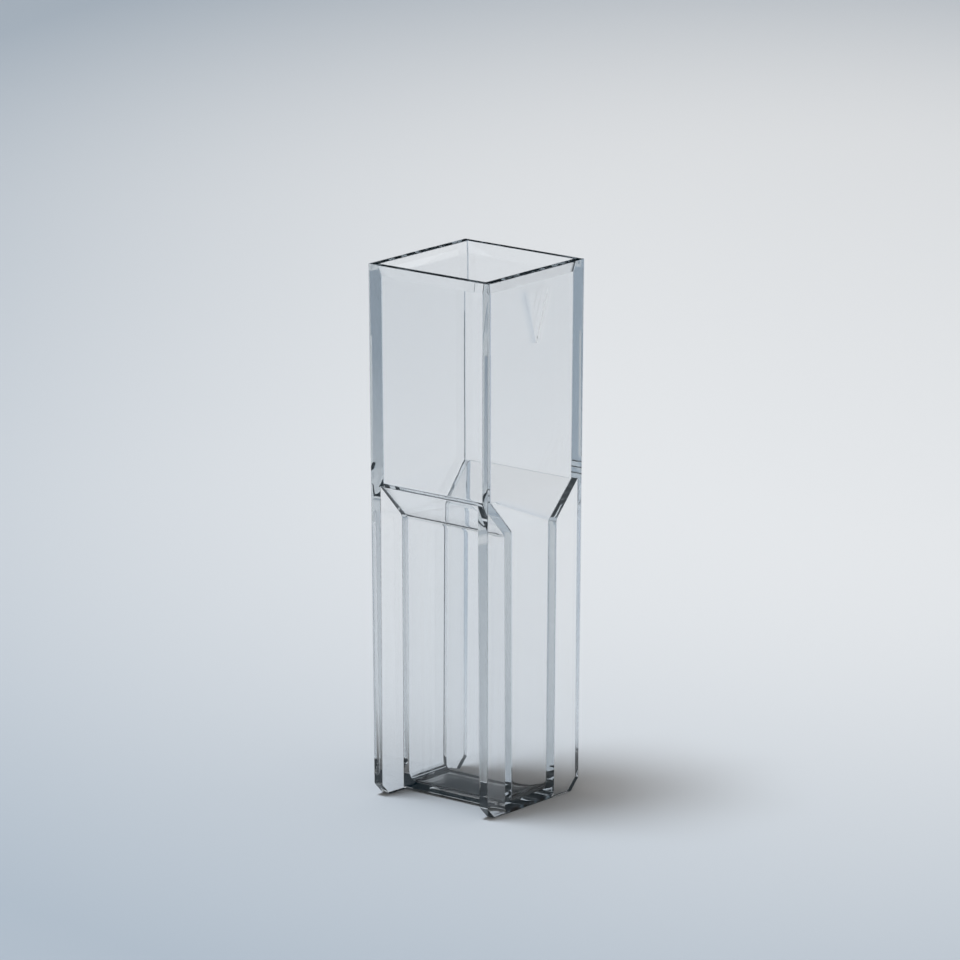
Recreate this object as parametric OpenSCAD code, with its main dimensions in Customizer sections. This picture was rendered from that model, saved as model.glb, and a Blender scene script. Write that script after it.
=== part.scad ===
// Semi-micro cuvette, moulded in clear polystyrene as one piece.
// A square upper chamber narrows through two sloping shoulders into a slim measuring chamber, which
// stands between two flat optical windows. The windows run the whole height, so below the shoulders
// they stick out past the measuring chamber on both sides, and the cuvette stands on their feet.
// +Z is up, the foot is at Z = 0, light crosses along Y and the recessed sides face +X and -X.

/* [Body] */
// Height from the foot to the rim
body_h = 45; // [36:0.5:60]
// How much wider the body is at the rim than at the foot, for release from the mould
body_taper = 0.5; // [0.1:0.05:0.8]
// Radius of the four outer corners
corner_r = 0.1; // [0.05:0.01:0.5]

/* [Optical windows] */
// Light path through the measuring chamber, from window to window
path_l = 10; // [8:0.1:16]
// Thickness of each window at the foot
window_t = 1; // [0.8:0.01:1.6]
// Thickness of each window's free edge, beside the recess, at the foot
wing_foot_t = 0.85; // [0.6:0.01:1.2]
// Thickness of each window's free edge under the shoulder
wing_top_t = 1.02; // [0.6:0.01:1.2]
// Height and depth of the chamfer at each end of a window's foot
foot_chamfer = 1; // [0.3:0.05:2]

/* [Upper chamber] */
// Thickness of the window walls above the shoulders
upper_window_t = 0.93; // [0.6:0.01:1.2]
// Thickness of the two side walls above the shoulders
upper_side_t = 0.83; // [0.5:0.01:1.4]
// Radius of the upper chamber's inner corners
upper_corner_r = 0.12; // [0.05:0.01:0.6]
// How far the inner faces flare out at the rim
rim_flare = 0.26; // [0.05:0.01:0.4]
// Height of the flare at the rim
rim_flare_h = 1; // [0.4:0.05:2]

/* [Shoulders] */
// Height of the shoulders' lower edge above the foot
shoulder_z = 23.5; // [18:0.1:28]
// Height of the shoulders, from lower edge to upper edge
shoulder_h = 2.95; // [2:0.05:4]
// How far the funnel's lower edge inside lies above the shoulders' lower edge outside
funnel_rise = 0.06; // [0:0.01:0.5]
// Height of the funnel inside, from lower edge to upper edge
funnel_h = 3.06; // [2:0.01:4]
// Radius of the shoulders' upper edge
shoulder_edge_r = 0.1; // [0.05:0.05:1]

/* [Measuring chamber] */
// Width of the measuring chamber inside at its floor, between its side walls
chamber_w = 4.58; // [3:0.05:5.5]
// How much wider the measuring chamber is at the funnel than at its floor
chamber_taper = 0.34; // [0.1:0.02:0.6]
// Thickness of the measuring chamber's side walls
chamber_wall_t = 0.93; // [0.6:0.01:1.2]
// Radius of the measuring chamber's upright inner corners
chamber_corner_r = 0.12; // [0.05:0.01:1]
// Height of the chamber's floor above the foot
floor_z = 0.6; // [0.5:0.05:3]
// Radius where the floor meets the windows
floor_r = 1; // [0.3:0.05:1.5]
// Gap under the base, so that only the windows' feet touch the table
base_lift = 0.2; // [0.05:0.05:0.3]

/* [Direction mark] */
// Width of the triangle at the rim
mark_w = 4.3; // [2:0.1:6]
// Height of the triangle, from the rim to its point
mark_h = 5.9; // [3:0.1:8]
// Depth of the triangle in the window's outer face
mark_depth = 0.04; // [0.02:0.01:0.2]

/* [Hidden] */

// Facets of a whole circle, and steps in a rounded edge of an outline
round_fn = 64;
arc_steps = 8;
// Overshoot of a cutting shape past the surface that it cuts through
cut = 1;

foot_w = path_l + 2 * window_t;
body_slope = body_taper / 2 / body_h;
funnel_z = shoulder_z + funnel_rise;
funnel_top_z = funnel_z + funnel_h;
flare_z = body_h - rim_flare_h;
chamber_slope = chamber_taper / 2 / (funnel_z - floor_z);

// Half the body's width at height z
function body_half(z) = foot_w / 2 + body_slope * z;
body_outline = [[body_half(0), 0], [body_half(body_h), body_h]];

// Half the measuring chamber's width inside, and to the outer face of its side wall, at height z
function chamber_half(z) = chamber_w / 2 + chamber_slope * (z - floor_z);
function recess_x(z) = chamber_half(z) + chamber_wall_t;

// Half the upper chamber's size at height z, given the thickness of its wall
function upper_half(z, wall_t) = body_half(z) - wall_t;

// Points of an arc of radius r that rounds the corner b between the points a and c
function rounded(a, b, c, r) =
    let (
        u = (a - b) / norm(a - b),
        v = (c - b) / norm(c - b),
        half = acos(u * v) / 2,
        middle = b + (u + v) / norm(u + v) * r / sin(half),
        from = b + u * r / tan(half) - middle,
        to = b + v * r / tan(half) - middle,
        turn = sign(cross(from, to)) * (180 - 2 * half)
    )
    [for (i = [0:arc_steps])
        let (t = turn * i / arc_steps)
        middle + [from.x * cos(t) - from.y * sin(t), from.x * sin(t) + from.y * cos(t)]];

function mirrored(points) = [for (i = [len(points) - 1:-1:0]) [-points[i].x, points[i].y]];

// A prism along X or Y from an outline in the plane across it, given by its right-hand half
module prism_along_y(right, length)
    rotate([90, 0, 0])
        linear_extrude(length, center = true)
            polygon(concat(right, mirrored(right)));

module prism_along_x(right, length)
    rotate(90)
        prism_along_y(right, length);

// What lies outside a rounded upright corner at [x, y, z], which leans outward with the body's faces
module outside_corner(at, r, height)
    translate(at)
        rotate(atan(body_slope * sqrt(2)), [-1, 1, 0])
            linear_extrude(height)
                polygon(concat(
                    [[cut, -r]],
                    rounded([0, -2 * r], [0, 0], [-2 * r, 0], r),
                    [[-r, cut], [cut, cut]]
                ));

module four_corners()
    for (x = [0, 1], y = [0, 1])
        mirror([x, 0, 0])
            mirror([0, y, 0])
                children();

module blank()
    difference() {
        intersection() {
            prism_along_y(body_outline, 2 * foot_w);
            prism_along_x(body_outline, 2 * foot_w);
        }
        four_corners()
            outside_corner([body_half(-cut), body_half(-cut), -cut], corner_r, body_h + 3 * cut);
    }

// Chamfers at both ends of the windows' feet, at 45 degrees
module foot_chamfers() {
    reach = foot_chamfer + cut;
    for (side = [0, 1])
        mirror([side, 0, 0])
            translate([foot_w / 2 - foot_chamfer, 0, 0])
                rotate([90, 0, 0])
                    linear_extrude(2 * foot_w, center = true)
                        polygon([[-cut, -cut], [reach, -cut], [reach, reach]]);
}

// Hollow on one side below the shoulder, between the windows' free edges
module recess() {
    reach = foot_w;
    top = shoulder_z + shoulder_h;
    low_edge = [recess_x(shoulder_z), shoulder_z];
    high_edge = [body_half(top), top];
    above = [body_half(body_h), body_h];
    edge = rounded(low_edge, high_edge, above, shoulder_edge_r);
    top_z = edge[arc_steps].y;
    intersection() {
        rotate([90, 0, 0])
            linear_extrude(2 * foot_w, center = true)
                polygon(concat(
                    [[recess_x(-cut), -cut], low_edge],
                    edge,
                    [[reach, top_z], [reach, -cut]]
                ));
        prism_along_x(
            [
                [foot_w / 2 - wing_foot_t, -cut],
                [foot_w / 2 - wing_foot_t, 0],
                [body_half(shoulder_z) - wing_top_t, shoulder_z],
                [body_half(shoulder_z) - wing_top_t, body_h]
            ],
            4 * foot_w
        );
    }
}

// Outline of half the upper chamber and the funnel below it, as [distance from the axis, height],
// between walls of the given thickness: straight and tapered, and opening wider at the rim
function upper_outline(low_half, wall_t) = [
    [low_half, funnel_z],
    [upper_half(funnel_top_z, wall_t), funnel_top_z],
    [upper_half(flare_z, wall_t), flare_z],
    [upper_half(body_h, wall_t) + rim_flare, body_h],
    [upper_half(body_h, wall_t) + rim_flare, body_h + cut]
];

// Upper chamber with the funnel that leads down into the measuring chamber
module upper_chamber() {
    z = funnel_top_z - 2 * upper_corner_r;
    difference() {
        intersection() {
            prism_along_y(upper_outline(chamber_half(funnel_z), upper_side_t), 2 * foot_w);
            prism_along_x(upper_outline(path_l / 2, upper_window_t), 2 * foot_w);
        }
        four_corners()
            outside_corner(
                [upper_half(z, upper_side_t), upper_half(z, upper_window_t), z],
                upper_corner_r,
                flare_z - z
            );
    }
}

module rounded_rectangle(size, r) {
    square([size.x - 2 * r, size.y], center = true);
    square([size.x, size.y - 2 * r], center = true);
    for (x = [-1, 1], y = [-1, 1])
        translate([x * (size.x / 2 - r), y * (size.y / 2 - r)])
            circle(r, $fn = round_fn);
}

// Upright block with rounded corners, leaning so that its +X face is a side of the chamber
module chamber_side() {
    reach = 2 * path_l;
    translate([chamber_w / 2, 0, floor_z])
        rotate([0, atan(chamber_slope), 0])
            translate([-reach / 2, 0, -chamber_w])
                linear_extrude(body_h)
                    rounded_rectangle([reach, path_l], chamber_corner_r);
}

// Measuring chamber, with upright rounded corners and a floor that curves up to the windows
module measuring_chamber()
    intersection() {
        chamber_side();
        mirror([1, 0, 0])
            chamber_side();
        prism_along_x(
            concat(
                rounded(
                    [0, floor_z],
                    [path_l / 2, floor_z],
                    [path_l / 2, funnel_z],
                    floor_r
                ),
                [[path_l / 2, funnel_top_z]]
            ),
            path_l
        );
    }

// Relief under the base between the two windows' feet
module base_relief()
    translate([-foot_w, wing_foot_t - foot_w / 2, -cut])
        cube([2 * foot_w, foot_w - 2 * wing_foot_t, cut + base_lift]);

// Triangle sunk into the outer face of the window at -Y, with its point down
module direction_mark() {
    half = mark_w / 2;
    translate([0, mark_depth - body_half(body_h), body_h])
        rotate([90 - atan(body_slope), 0, 0])
            linear_extrude(mark_depth + cut)
                polygon([[-half, 0], [0, -mark_h], [half, 0], [half, cut], [-half, cut]]);
}

module cuvette()
    color([0.86, 0.9, 0.94, 0.35])
        difference() {
            blank();
            foot_chamfers();
            recess();
            mirror([1, 0, 0])
                recess();
            base_relief();
            upper_chamber();
            measuring_chamber();
            direction_mark();
        }

cuvette();
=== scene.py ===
"""A clear polystyrene semi-micro cuvette, moulded in one piece, on a pale studio floor.

The cuvette is one closed skin: the outline of its cross-section is carried up the outside from the
feet to the rim, over the rim, and down the inside to the chamber's floor. Lengths are in metres, +Z
is up, the feet stand at Z = 0, light crosses along Y and the recessed sides face +X and -X.
"""

from math import cos, radians, sin

import bmesh
import bpy
import numpy as np
from bpy.props import FloatProperty, FloatVectorProperty, PointerProperty
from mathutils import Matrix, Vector


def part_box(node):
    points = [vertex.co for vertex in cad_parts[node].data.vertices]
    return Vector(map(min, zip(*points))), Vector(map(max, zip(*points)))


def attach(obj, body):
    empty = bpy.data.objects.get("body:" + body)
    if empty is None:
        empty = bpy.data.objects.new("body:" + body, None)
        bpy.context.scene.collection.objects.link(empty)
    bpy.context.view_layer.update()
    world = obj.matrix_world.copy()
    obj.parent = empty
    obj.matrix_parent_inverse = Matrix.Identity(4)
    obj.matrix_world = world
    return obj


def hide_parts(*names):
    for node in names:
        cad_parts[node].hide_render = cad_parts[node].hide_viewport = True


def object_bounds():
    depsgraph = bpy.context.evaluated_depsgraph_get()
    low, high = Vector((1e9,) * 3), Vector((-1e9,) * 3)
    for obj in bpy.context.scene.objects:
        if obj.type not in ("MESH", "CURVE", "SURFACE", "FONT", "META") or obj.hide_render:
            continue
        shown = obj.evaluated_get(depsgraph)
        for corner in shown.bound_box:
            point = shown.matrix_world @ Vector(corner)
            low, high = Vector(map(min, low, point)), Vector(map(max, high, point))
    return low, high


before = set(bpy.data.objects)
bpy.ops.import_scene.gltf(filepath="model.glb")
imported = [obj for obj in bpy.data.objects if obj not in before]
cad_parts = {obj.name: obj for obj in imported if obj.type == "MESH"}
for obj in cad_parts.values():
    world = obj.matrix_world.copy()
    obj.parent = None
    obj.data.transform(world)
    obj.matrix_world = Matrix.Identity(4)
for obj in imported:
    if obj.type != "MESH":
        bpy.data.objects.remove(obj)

bl_info = {
    "name": "Cuvette",
    "version": (1, 0, 0),
    "blender": (4, 5, 0),
    "location": "View3D > Sidebar > Cuvette",
    "description": "Builds a clear semi-micro cuvette and a pale studio around it",
    "category": "Add Mesh",
}

MM = 0.001
CAD_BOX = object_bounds()
CAD_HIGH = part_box("cuvette")[1]

# Steps across a window's half, round an edge's quarter circle, and along a recess's half
WINDOW_STEPS = 9
ARC_STEPS = 6
RECESS_STEPS = 6
# Points closer than this are one point
WELD = 2e-7

# The floor's painted pool of light: where its middle line starts and ends behind the object, how far that
# line lies to the right, and how much the pool is stretched across and along it
PAINTED_POOL_NEAR, PAINTED_POOL_FAR, PAINTED_POOL_ASIDE = 125 * MM, 230 * MM, 45 * MM
PAINTED_POOL_ACROSS, PAINTED_POOL_ALONG = 0.7, 1.1
# Distances from the pool's line between which the painted light falls off to painted shade, and how far
# it may fall off
PAINTED_LIGHT_FALL_OFF = (30 * MM, 300 * MM)
MOST_PAINTED_FALL_OFF = 0.6
# Distances from the object between which the sheet fades into the studio's walls
FADE_TO_WALLS = (350 * MM, 1500 * MM)
# Half the sheet's side, and how far it lies under the feet so that the two never share a plane
FLOOR_REACH, FLOOR_DROP = 3.0, 0.01 * MM
# Angle over which the backdrop's top edge fades into the dark studio
BACKDROP_EDGE = radians(3)
# From the object's middle to the lamp: to the camera's right, towards the camera, and up
LAMP_RIGHT, LAMP_BACK, LAMP_UP = -0.22, 0.02, 0.9
# Light crosses many walls and corners of clear plastic before it leaves
BOUNCES = 40


# Settings


def length(name, millimetres, description):
    """A length that a user can change, with its default in millimetres."""
    return FloatProperty(
        name=name, description=description, default=millimetres * MM, min=0, unit="LENGTH", precision=5
    )


def linear(hex_colour):
    """The linear colour and full opacity of an sRGB hex value: below 0.04045 it is c / 12.92, and
    above it ((c + 0.055) / 1.055) to the power 2.4."""
    srgb = np.array([int(hex_colour[i : i + 2], 16) for i in (1, 3, 5)]) / 255
    light = np.where(srgb <= 0.04045, srgb / 12.92, ((srgb + 0.055) / 1.055) ** 2.4)
    return (*light.tolist(), 1.0)


def colour(name, hex_colour, description):
    """A colour that a user can change, with its default as an sRGB hex value."""
    return FloatVectorProperty(
        name=name, description=description, default=linear(hex_colour), min=0, max=1, size=4, subtype="COLOR"
    )


class CuvetteSizes(bpy.types.PropertyGroup):
    """Sizes of the moulding, and the colour of its plastic"""

    height: length("Height", CAD_HIGH.z / MM, "From the feet to the rim")
    rim_half: length("Half width at the rim", CAD_HIGH.x / MM, "From the axis to an outer face at the rim")
    body_taper: length("Body taper", 0.5, "How much wider the body is at the rim than at the foot")
    corner_r: length("Corner radius", 0.04, "Outer corners' radius")
    edge_r: length("Edge radius", 0.1, "Radius that breaks the feet's and the base's edges")
    fold_r: length("Wing edge radius", 0.03, "Radius of the windows' free edges and of the recess's corners")
    foot_chamfer: length("Foot chamfer", 1.0, "Height and depth of the chamfer at each end of a foot")
    wing_foot_t: length("Wing thickness at the foot", 0.85, "Windows' free edges, at the foot")
    wing_top_t: length("Wing thickness at the top", 1.02, "Windows' free edges, under the shoulder")
    base_lift: length("Base lift", 0.2, "Gap under the base, between the windows' feet")

    shoulder_z: length("Shoulder height", 23.5, "Shoulders' lower edge above the foot")
    shoulder_h: length("Shoulder rise", 2.95, "From the shoulders' lower edge to their upper edge")
    shoulder_edge_r: length("Shoulder edge radius", 0.1, "Roundness of the shoulders' upper edge")
    shoulder_root_r: length("Shoulder root radius", 0.25, "Roundness of the shoulders' lower edge")

    upper_window_t: length("Upper window wall", 0.93, "Window walls above the shoulders")
    upper_side_t: length("Upper side wall", 0.83, "Side walls above the shoulders")
    upper_corner_r: length("Upper corner radius", 0.12, "Inner corners above the funnel")
    rim_flare: length("Rim flare", 0.26, "How far the inner faces open at the rim")
    rim_flare_h: length("Rim flare height", 1.0, "Height of the opening at the rim")
    rim_edge_r: length("Rim edge radius", 0.06, "Radius that breaks the rim's edges")

    funnel_rise: length("Funnel rise", 0.12, "How far the funnel's lower edge lies above the shoulders'")
    funnel_h: length("Funnel height", 3.0, "From the funnel's lower edge to its upper edge")
    funnel_edge_r: length("Funnel edge radius", 0.05, "Roundness of the funnel's edges")
    path_l: length("Light path", 10.0, "From window to window inside the measuring chamber")
    chamber_w: length("Chamber width", 4.58, "Between the side walls at the floor")
    chamber_taper: length("Chamber taper", 0.34, "How much wider the chamber is at the funnel")
    chamber_wall_t: length("Chamber wall", 0.93, "Measuring chamber's side walls")
    chamber_corner_r: length("Chamber corner radius", 0.12, "Measuring chamber's upright corners")
    floor_z: length("Floor height", 0.6, "Chamber's floor above the foot")
    floor_r: length("Floor radius", 1.0, "Where the floor meets the windows")
    floor_side_r: length("Floor side radius", 0.35, "Where the floor meets the side walls")

    mark_w: length("Mark width", 4.3, "Direction mark's width at the rim")
    mark_h: length("Mark height", 5.9, "Direction mark's height, from the rim to its point")
    mark_depth: length("Mark depth", 0.04, "How deep the direction mark is sunk")
    mark_edge: length("Mark edge", 0.061, "Width of the slope round the direction mark")
    mark_tip: length("Mark tip", 0.08, "Half width of the direction mark's blunt point")

    plastic: colour("Plastic", "#ffffff", "Light that one surface of the plastic lets through")
    body_tint: colour("Body tint", "#8fa0a8", "Tint that light takes on along a wall of the plastic")
    absorption: FloatProperty(
        name="Absorption",
        description="How strongly the plastic dims light, for each metre",
        default=50.0,
        min=0,
    )


class StudioSettings(bpy.types.PropertyGroup):
    """Camera, light and floor"""

    azimuth: FloatProperty(
        name="Azimuth", description="Camera's turn round the object", default=radians(-51), subtype="ANGLE"
    )
    elevation: FloatProperty(
        name="Elevation", description="Camera's height angle", default=radians(14.4), subtype="ANGLE"
    )
    distance: length("Distance", 600, "From the camera to the object's middle")
    focal: FloatProperty(
        name="Focal length", description="Camera's lens", default=274.0, min=1, unit="CAMERA"
    )
    aim_right: length("Aim right", 0.29, "How far right of the object's middle the camera aims")
    aim_up: length("Aim up", 4.0, "How far above the object's middle the camera aims")

    key_power: FloatProperty(
        name="Key lamp", description="Power of the soft lamp", default=7.4, min=0, unit="POWER"
    )
    key_size: length("Key lamp size", 300, "Side of the soft lamp")
    key_colour: colour("Key colour", "#edf4ff", "Colour of the soft lamp")
    room_light: colour("Room light", "#b5afac", "Light that the room gives from all sides")

    # Painted light on the floor: a pale colour where light is painted pooling, and a painted blue-grey shade
    # round it
    floor_painted_light_pool: colour("Floor middle", "#e5e7e5", "Floor where the light pools, behind the object")
    floor_painted_shade: colour("Floor edge", "#7690a4", "Floor far from the pool of light")
    backdrop: colour("Backdrop", "#dfe4e8", "Pale backdrop beyond the floor, all round")
    backdrop_top: FloatProperty(
        name="Backdrop top",
        description="Height angle of the backdrop's top",
        default=radians(7),
        subtype="ANGLE",
    )
    studio_dark: colour("Studio dark", "#0c1a21", "Dark studio above the backdrop")


# The cuvette's shape


def ramp(a, k):
    """The larger of a and 0, with the bend rounded: the parabola (a + k)^2 / 4k while a is within k."""
    return np.where(np.abs(a) < k, (a + k) ** 2 / (4 * k), np.maximum(a, 0))


def edge_inset(away, r):
    """How far a rounded edge has drawn back, at the distance away from the face that it rounds onto:
    r - sqrt(r^2 - (r - away)^2), and nothing beyond r."""
    short = r - np.clip(away, 0, r)
    return r - np.sqrt(r**2 - short**2)


def smooth_step(t):
    """0 before t = 0, 1 after t = 1, and 3t^2 - 2t^3 between."""
    t = np.clip(t, 0, 1)
    return t * t * (3 - 2 * t)


def quarter_turn():
    """Angles of a quarter circle's points."""
    return np.linspace(0, np.pi / 2, ARC_STEPS + 1)


def body_half(s, z):
    """Half the body's width: a straight taper up to the rim."""
    return s.rim_half - s.body_taper / 2 * (1 - z / s.height)


def chamber_half(s, z):
    """Half the measuring chamber's width inside: a straight taper up to the funnel."""
    tall = s.shoulder_z + s.funnel_rise - s.floor_z
    return s.chamber_w / 2 + s.chamber_taper / 2 * (z - s.floor_z) / tall


def wing_inner(s, z):
    """Distance of a wing's inner face from the axis: it leans up to the shoulder, then stands upright."""
    at_foot = body_half(s, 0) - s.wing_foot_t
    at_top = body_half(s, s.shoulder_z) - s.wing_top_t
    return at_foot + (at_top - at_foot) * np.minimum(z / s.shoulder_z, 1)


def recess_half(s, z):
    """Distance of the recess's floor from the axis. The chamber wall's outer face runs straight up,
    turns out along the shoulder, and stops at the body's face, with both turns rounded."""
    wall = chamber_half(s, np.minimum(z, s.shoulder_z)) + s.chamber_wall_t
    out = body_half(s, s.shoulder_z + s.shoulder_h) - chamber_half(s, s.shoulder_z) - s.chamber_wall_t
    slope = wall + out / s.shoulder_h * ramp(z - s.shoulder_z, s.shoulder_root_r)
    return slope - ramp(slope - body_half(s, z), s.shoulder_edge_r / 3)


def window_columns(s, z, reach):
    """Distances from the axis of the points along half a window, up to reach. The first four follow
    the direction mark's slanting edge: they are spread over its half width at each height."""
    mark_z = s.height - s.mark_h
    half = np.maximum(s.mark_w / 2 * (z - mark_z) / s.mark_h, s.mark_tip)
    inside = half - s.mark_edge / 2
    outside = half + s.mark_edge / 2
    share = np.linspace(0, 1, WINDOW_STEPS - 2)
    return np.concatenate([inside * [0, 0.5, 1], outside + (reach - outside) * share], axis=1)


def mark_sink(s, z):
    """How deep the direction mark is at the window's points: full depth on the three columns inside
    it, reached by a smooth step above its point, and running out below the flare at the rim."""
    sunk = smooth_step((z - s.height + s.mark_h) / s.mark_edge + 0.5)
    sunk = sunk * smooth_step((s.height - z) / s.rim_flare_h - 1)
    columns = np.arange(WINDOW_STEPS + 1) < 3
    return s.mark_depth * sunk * columns


def outer_quarter(s, z):
    """A quarter of the outer outline at each height z: (x, y, z) arrays of heights by points.

    It starts in the middle of the window at +Y, follows it, rounds the corner by a quarter circle,
    comes down the wing's edge, and folds into the recess by an S of two quarter circles with a
    straight between them. The S is flattened by the recess's depth, so it vanishes where the
    shoulder ends. The recess's own points stop at the base, and the wing's go down to its foot."""
    turn = quarter_turn()
    foot = edge_inset(z, s.edge_r)
    rim = edge_inset(s.height - z, s.rim_edge_r)
    half_y = body_half(s, z) - foot - rim
    half_x = half_y - ramp(s.foot_chamfer - z, s.edge_r)
    corner = np.maximum(s.corner_r - foot - rim, s.corner_r / 4)
    wing = wing_inner(s, z)

    base_z = np.maximum(z, s.base_lift)
    base_wing = wing_inner(s, base_z)
    recess = recess_half(s, base_z) - edge_inset(base_z - s.base_lift, s.edge_r)
    recess = np.minimum(recess, half_x)
    fold = s.fold_r * np.clip((half_x - recess) / (3 * s.fold_r), 0, 1)
    straight = np.linspace(1, 0, RECESS_STEPS + 1)[1:]

    along = window_columns(s, z, half_x - corner)
    x = [
        along,
        half_x - corner * (1 - np.sin(turn[1:])),
        half_x - fold * (1 - np.cos(turn)),
        recess + fold * (1 - np.sin(turn)),
        recess + 0 * straight,
    ]
    y = [
        half_y + 0 * along,
        half_y - corner * (1 - np.cos(turn[1:])),
        wing + s.fold_r * (1 - np.sin(turn)),
        base_wing - s.fold_r * (1 - np.cos(turn)),
        (base_wing - s.fold_r) * straight,
    ]
    y[3][:, :1] = wing
    on_wing = np.repeat(z, sum(part.shape[1] for part in x[:3]) + 1, axis=1)
    on_recess = np.repeat(base_z, ARC_STEPS + RECESS_STEPS, axis=1)
    return np.concatenate(x, axis=1), np.concatenate(y, axis=1), np.concatenate([on_wing, on_recess], axis=1)


def inner_half(s, z, chamber, wall_t, k):
    """Half the inside's width: chamber up to the funnel, then a straight slope out to the upper wall,
    then that wall's own taper and, at the rim, the flare. The bends are rounded over k."""
    funnel_z = s.shoulder_z + s.funnel_rise
    top_z = funnel_z + s.funnel_h
    upper = body_half(s, z) - wall_t
    chamber_end = chamber(np.minimum(z, funnel_z))
    rise = (body_half(s, top_z) - wall_t - chamber(funnel_z)) / s.funnel_h
    funnel = chamber_end + rise * ramp(z - funnel_z, k)
    half = upper - ramp(upper - funnel, k * rise)
    flare = s.rim_flare / s.rim_flare_h * ramp(z - s.height + s.rim_flare_h, k / 2)
    return half + flare + edge_inset(s.height - z, s.rim_edge_r)


def inner_quarter(s, z, outer_x, outer_y):
    """A quarter of the inner outline at each height z, a rectangle with rounded corners, with its
    points spaced as the outer outline's are at the rim, so that the rim's faces run straight across."""
    turn = quarter_turn()
    half_x = inner_half(s, z, lambda h: chamber_half(s, h), s.upper_side_t, s.funnel_edge_r)
    half_y = inner_half(s, z, lambda h: s.path_l / 2 + 0 * h, s.upper_window_t, s.funnel_edge_r)
    half_x = half_x - edge_inset(z - s.floor_z, s.floor_side_r)
    half_y = half_y - edge_inset(z - s.floor_z, s.floor_r)
    opened = smooth_step((z - s.shoulder_z - s.funnel_rise) / s.funnel_h)
    corner = s.chamber_corner_r + (s.upper_corner_r - s.chamber_corner_r) * opened

    side = outer_y[WINDOW_STEPS + ARC_STEPS + 1 :] / outer_y[WINDOW_STEPS + ARC_STEPS]
    along = (half_x - corner) * outer_x[: WINDOW_STEPS + 1] / outer_x[WINDOW_STEPS]
    x = [along, half_x - corner * (1 - np.sin(turn[1:])), half_x + 0 * side]
    y = [half_y + 0 * along, half_y - corner * (1 - np.cos(turn[1:])), (half_y - corner) * side]
    x = np.concatenate(x, axis=1)
    return x, np.concatenate(y, axis=1), z + 0 * x


def whole_ring(quarter, sink=0):
    """A closed outline from a quarter, mirrored across both axes: heights by points by (x, y, z).
    The outline's -Y half lies closer to the axis by sink."""
    x, y, z = quarter
    last = x.shape[1] - 1
    there = np.arange(last + 1)
    order = np.concatenate([there, there[-2::-1], there[1:], there[-2:0:-1]])
    left = np.repeat([1, -1], [2 * last + 1, 2 * last - 1])
    front = np.repeat([False, True, False], [last + 1, 2 * last, last - 1])
    front_y = y.copy()
    front_y[:, : WINDOW_STEPS + 1] -= sink
    return np.stack(
        [x[:, order] * left, np.where(front, -front_y[:, order], y[:, order]), z[:, order]], axis=2
    )


def outer_heights(s):
    """Heights of the outer outlines, close together where the profile bends."""
    edge = 1 - np.cos(quarter_turn())
    top_z = s.shoulder_z + s.shoulder_h
    mark_z = s.height - s.mark_h
    bend = s.shoulder_edge_r / 2
    spans = [
        s.edge_r * edge,
        s.base_lift + s.edge_r * edge,
        s.foot_chamfer + s.edge_r * np.linspace(-1, 1, 7),
        np.linspace(2 * s.foot_chamfer, s.shoulder_z - 2 * s.shoulder_root_r, 10),
        s.shoulder_z + s.shoulder_root_r * np.linspace(-1, 1, 7),
        np.linspace(s.shoulder_z + 2 * s.shoulder_root_r, top_z - bend, 10),
        top_z + bend * np.linspace(-0.9, 1, 16),
        np.linspace(top_z + 2 * bend, mark_z - s.mark_edge, 8),
        mark_z + s.mark_edge * np.linspace(-0.5, 0.5, 6),
        np.linspace(mark_z + s.mark_edge, s.height - 2 * s.rim_edge_r, 24),
        s.height - s.rim_edge_r * edge,
    ]
    return np.unique(np.concatenate(spans).round(6))[:, None]


def inner_heights(s):
    """Heights of the inner outlines, from the rim down, close together where the profile bends."""
    edge = 1 - np.cos(np.linspace(0, np.pi / 2, 2 * ARC_STEPS + 1))
    funnel_z = s.shoulder_z + s.funnel_rise
    top_z = funnel_z + s.funnel_h
    flare_z = s.height - s.rim_flare_h
    k = s.funnel_edge_r
    spans = [
        s.floor_z + s.floor_side_r * edge,
        s.floor_z + s.floor_r * edge,
        np.linspace(s.floor_z + 1.3 * s.floor_r, funnel_z - 1.5 * k, 10),
        funnel_z + k * np.linspace(-1, 1, 13),
        np.linspace(funnel_z + 1.5 * k, top_z - 1.5 * k, 6),
        top_z + k * np.linspace(-1, 1, 13),
        np.linspace(top_z + 1.5 * k, flare_z - k, 8),
        flare_z + k / 2 * np.linspace(-1, 1, 11),
        np.linspace(flare_z + k, s.height - 2 * s.rim_edge_r, 4),
        s.height - s.rim_edge_r * edge[::2],
    ]
    return np.unique(np.concatenate(spans).round(6))[::-1, None]


def skin_rows(s):
    """The whole skin but its underside, as one grid: outer outlines up to the rim, inner ones down to
    the floor, and the floor's own outline drawn in to a point."""
    z = outer_heights(s)
    outer = outer_quarter(s, z)
    inner = inner_quarter(s, inner_heights(s), outer[0][-1], outer[1][-1])
    down = whole_ring(inner)
    middle = down[-1] * [0, 0, 1]
    floor = np.stack([(down[-1] + middle) / 2, middle])
    return np.concatenate([whole_ring(outer, mark_sink(s, z)), down, floor])


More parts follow.
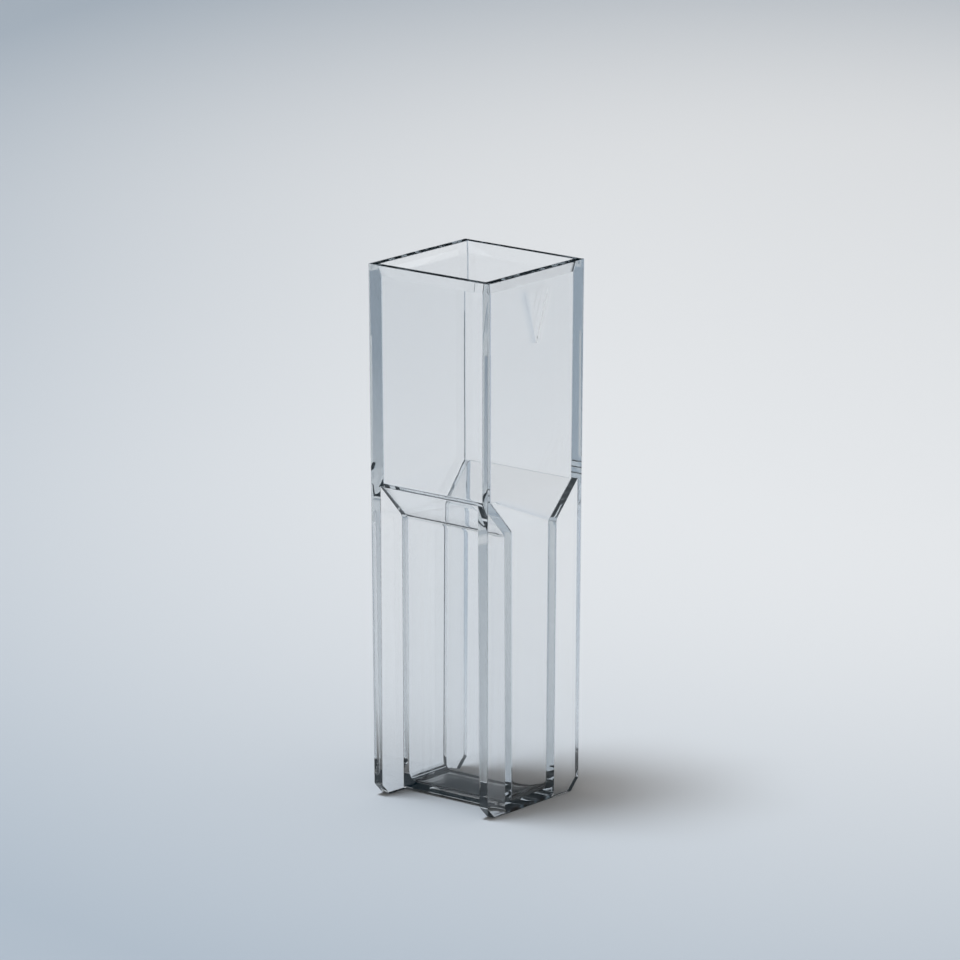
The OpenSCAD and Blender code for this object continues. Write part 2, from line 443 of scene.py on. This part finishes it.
def underside_patches(s):
    """Flat patches that close the skin below: the two feet, the steps from them up to the base, and
    the base. Their edges are the lowest outline's own points."""
    x, y, z = (part[0] for part in outer_quarter(s, outer_heights(s)[:1]))
    wing_end = WINDOW_STEPS + 2 * ARC_STEPS + 1
    share = x[:WINDOW_STEPS] / x[WINDOW_STEPS - 1]
    across = np.concatenate([share[::-1], -share[1:]])
    fold_x, fold_y = x[wing_end + 1], y[wing_end + 1]

    edge_x = np.concatenate([x[wing_end::-1], -x[1 : wing_end + 1]])
    edge_y = np.concatenate([y[wing_end::-1], y[1 : wing_end + 1]])
    beyond = np.full(wing_end - WINDOW_STEPS + 1, x[wing_end])
    line_x = np.concatenate([beyond, fold_x * across, -beyond])
    foot = np.stack([
        np.stack([edge_x, edge_y, 0 * edge_x], axis=1),
        np.stack([line_x, fold_y + 0 * line_x, 0 * line_x], axis=1),
    ])
    step = np.stack([
        np.stack([share_x, y[k] + 0 * across, z[k] + 0 * across], axis=1)
        for k, share_x in ((wing_end + 1, fold_x * across), (wing_end + 2, x[wing_end + 2] * across))
    ])
    half_x, half_y = x[wing_end + 2 :], y[wing_end + 2 :]
    rows_x = np.concatenate([half_x, half_x[-2::-1]])[:, None] * across
    rows_y = np.concatenate([half_y, -half_y[-2::-1]])[:, None] + 0 * rows_x
    base = np.stack([rows_x, rows_y, s.base_lift + 0 * rows_x], axis=2)
    return [foot, foot * [1, -1, 1], step, step * [1, -1, 1], base]


def grid_faces(rows, columns, first, closed):
    """Four-sided faces between neighbouring rows of a grid of points numbered from first. A closed
    grid's last column joins its first."""
    number = first + np.arange(rows * columns).reshape(rows, columns)
    if closed:
        number = np.concatenate([number, number[:, :1]], axis=1)
    corners = [number[:-1, :-1], number[:-1, 1:], number[1:, 1:], number[1:, :-1]]
    return np.stack(corners, axis=2).reshape(-1, 4)


def closed_mesh(name, skin, patches):
    """One mesh from a closed grid and the open patches that meet its edges, welded, facing outward."""
    points = [skin.reshape(-1, 3)]
    faces = [grid_faces(*skin.shape[:2], 0, True)]
    for patch in patches:
        faces.append(grid_faces(*patch.shape[:2], sum(map(len, points)), False))
        points.append(patch.reshape(-1, 3))
    mesh = bpy.data.meshes.new(name)
    mesh.from_pydata(np.concatenate(points).tolist(), [], np.concatenate(faces).tolist())

    welded = bmesh.new()
    welded.from_mesh(mesh)
    bmesh.ops.remove_doubles(welded, verts=welded.verts, dist=WELD)
    bmesh.ops.dissolve_degenerate(welded, edges=welded.edges, dist=WELD)
    bmesh.ops.recalc_face_normals(welded, faces=welded.faces)
    open_edges = sum(not edge.is_manifold for edge in welded.edges)
    welded.to_mesh(mesh)
    welded.free()
    if open_edges:
        raise RuntimeError(f"{name} is not closed: {open_edges} edges don't join two faces")
    mesh.shade_smooth()
    return mesh


# Materials


def add_node(tree, kind, inputs=None, **settings):
    """Adds a node. Each setting is one of its own, and each input is a value or a socket to link."""
    node = tree.nodes.new(kind)
    for name, value in settings.items():
        setattr(node, name, value)
    for key, value in (inputs or {}).items():
        if isinstance(value, bpy.types.NodeSocket):
            tree.links.new(value, node.inputs[key])
        else:
            node.inputs[key].default_value = value
    return node


def empty_tree(owner):
    """An owner's node tree with nothing in it."""
    owner.use_nodes = True
    owner.node_tree.nodes.clear()
    return owner.node_tree


def moulded_polystyrene(s):
    """Injection-moulded crystal polystyrene: water-clear, with the gloss of a polished mould. The melt
    leaves faint upright flow lines, and the mould's polish a finer texture, and both bend what is
    seen through the walls by a hair."""
    material = bpy.data.materials.new("injection_moulded_crystal_polystyrene")
    tree = empty_tree(material)
    place = add_node(tree, "ShaderNodeTexCoord").outputs["Object"]

    # Flow lines stand 2 mm apart and run about 25 mm up the wall
    flow_gap, flow_run = 2.0 * MM, 25.0 * MM
    flow_place = add_node(
        tree, "ShaderNodeMapping", {"Vector": place, "Scale": (1 / flow_gap, 1 / flow_gap, 1 / flow_run)}
    )
    flow = add_node(
        tree, "ShaderNodeTexNoise", {"Vector": flow_place.outputs[0], "Scale": 1.0, "Detail": 2.0}
    )
    waves = add_node(
        tree, "ShaderNodeBump", {"Height": flow.outputs["Fac"], "Strength": 1.0, "Distance": 0.0022 * MM}
    )

    # Polishing marks are 0.4 mm across, coarser than the real ones so that they show
    polish = add_node(
        tree,
        "ShaderNodeTexNoise",
        {"Vector": place, "Scale": 1 / (0.4 * MM), "Detail": 3.0, "Roughness": 0.6},
    )
    texture = add_node(
        tree,
        "ShaderNodeBump",
        {
            "Height": polish.outputs["Fac"],
            "Strength": 1.0,
            "Distance": 0.00008 * MM,
            "Normal": waves.outputs[0],
        },
    )

    plastic = add_node(
        tree,
        "ShaderNodeBsdfPrincipled",
        {
            "Base Color": s.plastic,
            "Roughness": 0.0,
            "IOR": 1.59,
            "Transmission Weight": 1.0,
            "Normal": texture.outputs[0],
        },
    )
    # Light that runs along a wall, edge to edge, is dimmed more than light that crosses it
    body = add_node(tree, "ShaderNodeVolumeAbsorption", {"Color": s.body_tint, "Density": s.absorption})
    add_node(tree, "ShaderNodeOutputMaterial", {"Surface": plastic.outputs[0], "Volume": body.outputs[0]})
    return material


def smooth_between(tree, value, low, high):
    """0 where a value is below low, 1 where it is above high, and a smooth step between."""
    step = add_node(
        tree,
        "ShaderNodeMapRange",
        {"Value": value, "From Min": low, "From Max": high},
        interpolation_type="SMOOTHSTEP",
    )
    return step.outputs[0]


def studio_walls(tree, studio, heading):
    """What stands beyond the floor, in the direction of a heading: the pale backdrop low down all
    round, and the dark studio above it."""
    height = add_node(tree, "ShaderNodeSeparateXYZ", {0: heading}).outputs["Z"]
    top = studio.backdrop_top
    above = smooth_between(tree, height, sin(top), sin(top + BACKDROP_EDGE))
    return blend(tree, above, studio.backdrop, studio.studio_dark)


def blend(tree, factor, first, second):
    """The colour between first and second at factor."""
    mixed = add_node(tree, "ShaderNodeMix", {0: factor, 6: first, 7: second}, data_type="RGBA")
    return mixed.outputs[2]


def floor_sheet_with_painted_light(studio, right, forward):
    """A matt white plastic sheet with a painted pool of light, longer than wide, behind the object. Round
    the pool the sheet's colour falls off towards a painted blue-grey shade, and stays pale however far it
    goes.
    Far off it fades into the studio's walls, so no horizon shows."""
    material = bpy.data.materials.new("matt_white_sheet_painted_light_pool")
    tree = empty_tree(material)
    place = add_node(tree, "ShaderNodeTexCoord").outputs["Object"]

    # Distance from a line along the middle of the painted pool of light, counted longer across it than along
    # it
    across, along = (
        add_node(tree, "ShaderNodeVectorMath", {0: place, 1: way}, operation="DOT_PRODUCT").outputs["Value"]
        for way in (right, forward)
    )
    on_line = add_node(
        tree, "ShaderNodeClamp", {"Value": along, "Min": PAINTED_POOL_NEAR, "Max": PAINTED_POOL_FAR}
    ).outputs[0]
    beyond = add_node(tree, "ShaderNodeMath", {0: along, 1: on_line}, operation="SUBTRACT").outputs[0]
    off_line = add_node(tree, "ShaderNodeMath", {0: across, 1: PAINTED_POOL_ASIDE}, operation="SUBTRACT").outputs[0]
    offset = add_node(tree, "ShaderNodeCombineXYZ", {"X": off_line, "Y": beyond}).outputs[0]
    scaled = add_node(
        tree,
        "ShaderNodeVectorMath",
        {0: offset, 1: (1 / PAINTED_POOL_ACROSS, 1 / PAINTED_POOL_ALONG, 0)},
        operation="MULTIPLY",
    ).outputs[0]
    away = add_node(tree, "ShaderNodeVectorMath", {0: scaled}, operation="LENGTH").outputs["Value"]
    # The sheet's colour: the painted pool of light, falling off to painted shade round it
    painted_falloff = smooth_between(tree, away, *PAINTED_LIGHT_FALL_OFF)
    painted_falloff = add_node(tree, "ShaderNodeMath", {0: painted_falloff, 1: MOST_PAINTED_FALL_OFF}, operation="MINIMUM").outputs[0]
    painted_light_sheet = blend(tree, painted_falloff, studio.floor_painted_light_pool, studio.floor_painted_shade)
    surface = add_node(
        tree,
        "ShaderNodeBsdfPrincipled",
        {"Base Color": painted_light_sheet, "Roughness": 0.5, "Specular IOR Level": 0.2},
    )

    heading = add_node(tree, "ShaderNodeVectorMath", {0: place}, operation="NORMALIZE").outputs[0]
    walls = add_node(tree, "ShaderNodeEmission", {"Color": studio_walls(tree, studio, heading)})
    from_middle = add_node(tree, "ShaderNodeVectorMath", {0: place}, operation="LENGTH").outputs["Value"]
    distant = smooth_between(tree, from_middle, *FADE_TO_WALLS)
    faded = add_node(
        tree, "ShaderNodeMixShader", {0: distant, 1: surface.outputs[0], 2: walls.outputs[0]}
    )
    add_node(tree, "ShaderNodeOutputMaterial", {"Surface": faded.outputs[0]})
    return material


# Building the piece


def build_cuvette(s):
    """The cuvette as one mesh, with its flat faces kept flat up to their rounded edges."""
    mesh = closed_mesh("clear_cuvette", skin_rows(s), underside_patches(s))
    piece = bpy.data.objects.new("clear_cuvette", mesh)
    bpy.context.scene.collection.objects.link(piece)
    mesh.materials.append(moulded_polystyrene(s))
    flat = piece.modifiers.new("flat_faces", "WEIGHTED_NORMAL")
    flat.mode = "FACE_AREA"
    flat.weight = 100
    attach(piece, "root")
    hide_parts("cuvette")
    return piece


# Building the studio


def view_axes(studio):
    """Unit vectors to the camera's right, up and back, from its turn round the object and its height
    angle. At an azimuth of 0 it looks along +Y."""
    turn, rise = studio.azimuth, studio.elevation
    back = Vector((sin(turn) * cos(rise), -cos(turn) * cos(rise), sin(rise)))
    right = Vector((cos(turn), sin(turn), 0))
    return right, back.cross(right), back


def aimed(name, data, place, target):
    """An object at place that looks at target."""
    thing = bpy.data.objects.new(name, data)
    bpy.context.scene.collection.objects.link(thing)
    thing.location = place
    thing.rotation_mode = "QUATERNION"
    thing.rotation_quaternion = (target - place).to_track_quat("-Z", "Y")
    return thing


def add_camera(studio, middle):
    """The camera, far off with a long lens."""
    right, up, back = view_axes(studio)
    data = bpy.data.cameras.new("camera")
    data.sensor_width = 36
    data.lens = studio.focal
    data.clip_start = 0.05
    data.clip_end = 20
    target = middle + up * studio.aim_up + right * studio.aim_right
    bpy.context.scene.camera = aimed("camera", data, middle + back * studio.distance, target)


def add_key_lamp(studio, middle):
    """A soft lamp, nearly overhead and a little to the left, that isn't seen in the plastic."""
    right, _, back = view_axes(studio)
    data = bpy.data.lights.new("key_lamp", "AREA")
    data.shape = "SQUARE"
    data.size = studio.key_size
    data.energy = studio.key_power
    data.color = studio.key_colour[:3]
    place = middle + right * LAMP_RIGHT + back * LAMP_BACK + Vector((0, 0, LAMP_UP))
    lamp = aimed("key_lamp", data, place, middle)
    lamp.visible_glossy = False
    lamp.visible_transmission = False


def add_floor(studio):
    """A level sheet, a hair below the feet so that the two never share a plane."""
    right, _, back = view_axes(studio)
    forward = Vector((-back.x, -back.y, 0)).normalized()
    sides = ((-1, -1), (1, -1), (1, 1), (-1, 1))
    corners = [(x * FLOOR_REACH, y * FLOOR_REACH, -FLOOR_DROP) for x, y in sides]
    mesh = bpy.data.meshes.new("studio_floor")
    mesh.from_pydata(corners, [], [(0, 1, 2, 3)])
    mesh.materials.append(floor_sheet_with_painted_light(studio, right, forward))
    floor = bpy.data.objects.new("studio_floor", mesh)
    bpy.context.scene.collection.objects.link(floor)


def add_world(studio):
    """The studio's walls where they are seen, straight, mirrored or through the plastic, and an even
    room light for the matt floor."""
    world = bpy.data.worlds.new("studio")
    bpy.context.scene.world = world
    tree = empty_tree(world)
    heading = add_node(tree, "ShaderNodeTexCoord").outputs["Generated"]
    path = add_node(tree, "ShaderNodeLightPath")
    seen = path.outputs["Is Camera Ray"]
    for kind in ("Is Glossy Ray", "Is Transmission Ray"):
        either = add_node(tree, "ShaderNodeMath", {0: seen, 1: path.outputs[kind]}, operation="MAXIMUM")
        seen = either.outputs[0]
    light = blend(tree, seen, studio.room_light, studio_walls(tree, studio, heading))
    background = add_node(tree, "ShaderNodeBackground", {"Color": light})
    add_node(tree, "ShaderNodeOutputWorld", {"Surface": background.outputs[0]})


# The add-on


class CUVETTE_OT_build(bpy.types.Operator):
    """Build the cuvette's skin and give it its moulded finish"""

    bl_idname = "cuvette.build"
    bl_label = "Build cuvette"

    def execute(self, context):
        build_cuvette(context.scene.cuvette_sizes)
        return {"FINISHED"}


class CUVETTE_OT_studio(bpy.types.Operator):
    """Set up the camera, the soft lamp, the pale floor and the room light"""

    bl_idname = "cuvette.studio"
    bl_label = "Build studio"

    def execute(self, context):
        scene = context.scene
        studio = scene.cuvette_studio
        middle = (CAD_BOX[0] + CAD_BOX[1]) / 2
        add_camera(studio, middle)
        add_key_lamp(studio, middle)
        add_floor(studio)
        add_world(studio)
        scene.view_settings.view_transform = "Standard"
        scene.cycles.max_bounces = BOUNCES
        scene.cycles.transmission_bounces = BOUNCES
        scene.cycles.glossy_bounces = BOUNCES
        scene.cycles.transparent_max_bounces = BOUNCES
        return {"FINISHED"}


class CUVETTE_PT_sidebar(bpy.types.Panel):
    """Sizes, studio and build buttons"""

    bl_label = "Cuvette"
    bl_space_type = "VIEW_3D"
    bl_region_type = "UI"
    bl_category = "Cuvette"

    def draw(self, context):
        for settings, operator in (
            (context.scene.cuvette_sizes, CUVETTE_OT_build),
            (context.scene.cuvette_studio, CUVETTE_OT_studio),
        ):
            box = self.layout.box()
            for name in settings.__annotations__:
                box.prop(settings, name)
            box.operator(operator.bl_idname)


CLASSES = (CuvetteSizes, StudioSettings, CUVETTE_OT_build, CUVETTE_OT_studio, CUVETTE_PT_sidebar)


def register():
    for cls in CLASSES:
        bpy.utils.register_class(cls)
    bpy.types.Scene.cuvette_sizes = PointerProperty(type=CuvetteSizes)
    bpy.types.Scene.cuvette_studio = PointerProperty(type=StudioSettings)


def unregister():
    del bpy.types.Scene.cuvette_studio
    del bpy.types.Scene.cuvette_sizes
    for cls in reversed(CLASSES):
        bpy.utils.unregister_class(cls)


def main():
    """Builds the piece and the studio."""
    register()
    bpy.ops.cuvette.build()
    bpy.ops.cuvette.studio()


if __name__ == "__main__":
    main()
